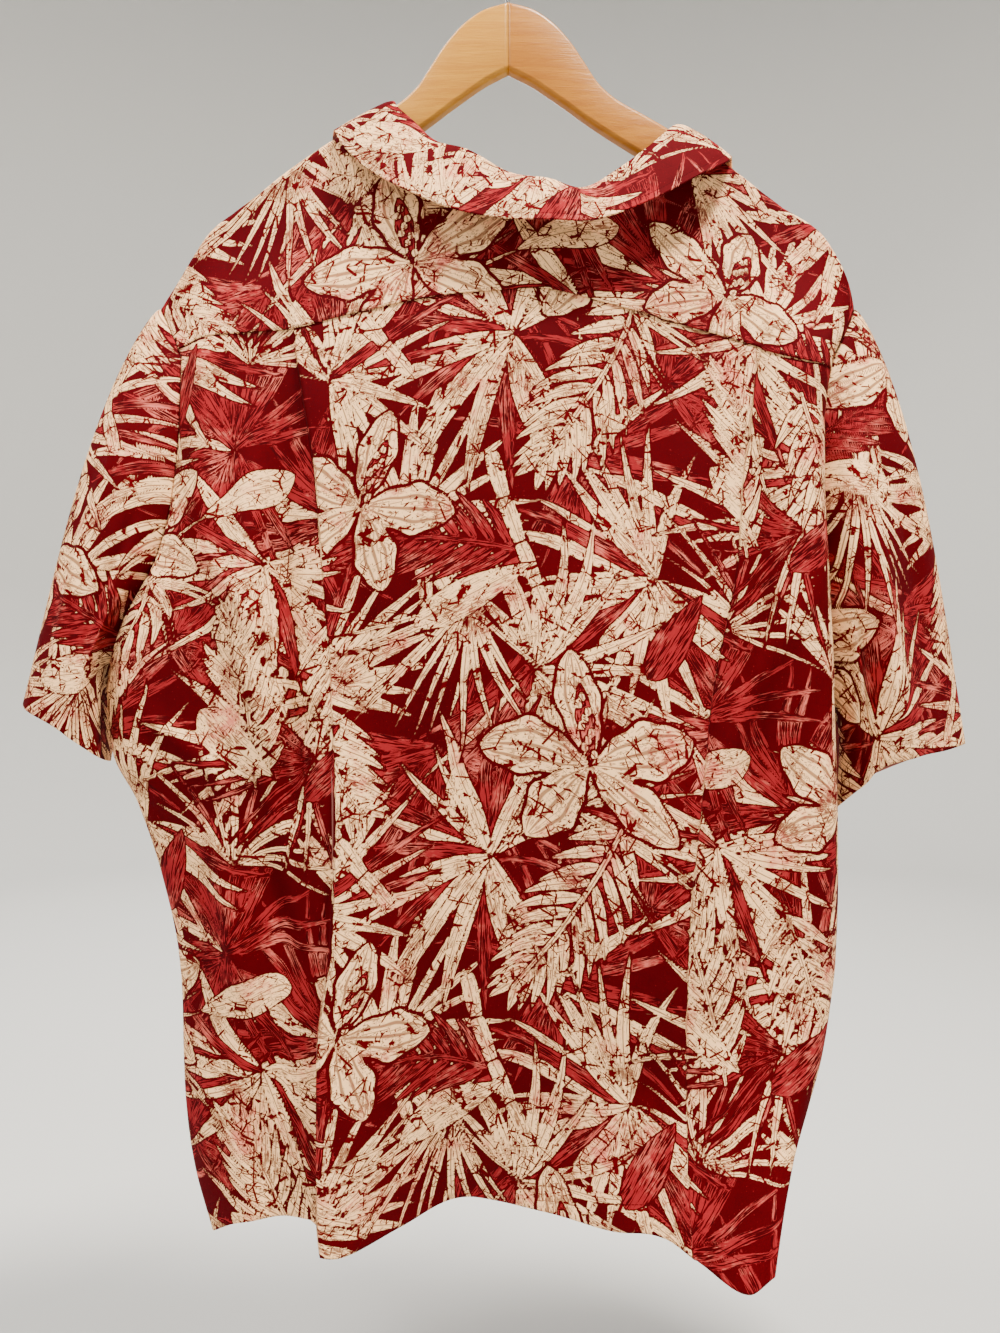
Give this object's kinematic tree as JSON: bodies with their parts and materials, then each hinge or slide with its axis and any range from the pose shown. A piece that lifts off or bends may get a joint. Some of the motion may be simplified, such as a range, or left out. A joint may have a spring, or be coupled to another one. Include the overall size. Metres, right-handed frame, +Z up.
{
  "type": "tropical shirt on a wooden hanger",
  "caption": "Large short-sleeved camp shirt in an all-over tropical leaf and flower print, buttoned and hanging with its back to the viewer on a contoured wooden hanger.",
  "frame": {"origin": "inside top of the hanger's hook, where a rail carries it", "axes": "+Z up, the shirt's back faces -Y and its fronts +Y, the wearer's right side is at +X"},
  "size_m": [0.7742, 0.1784, 1.0346],
  "materials": {
    "print": "matt printed rayon, crimson with cream and pink leaves and flowers",
    "button": "semi-gloss four-hole button",
    "wood_pale": "satin-lacquered pale maple",
    "wood_warm": "satin-lacquered warm maple",
    "steel": "polished wire"
  },
  "bodies": {
    "root": {"back": "print", "yoke": "print", "front_left": "print", "front_right": "print", "sleeve_left": "print", "sleeve_right": "print", "collar": "print", "lapel_left": "print", "lapel_right": "print", "button_1": "button", "button_2": "button", "button_3": "button", "button_4": "button", "button_5": "button", "button_6": "button", "hanger_left": "wood_pale", "hanger_right": "wood_warm", "hook": "steel"}
  },
  "joints": []
}
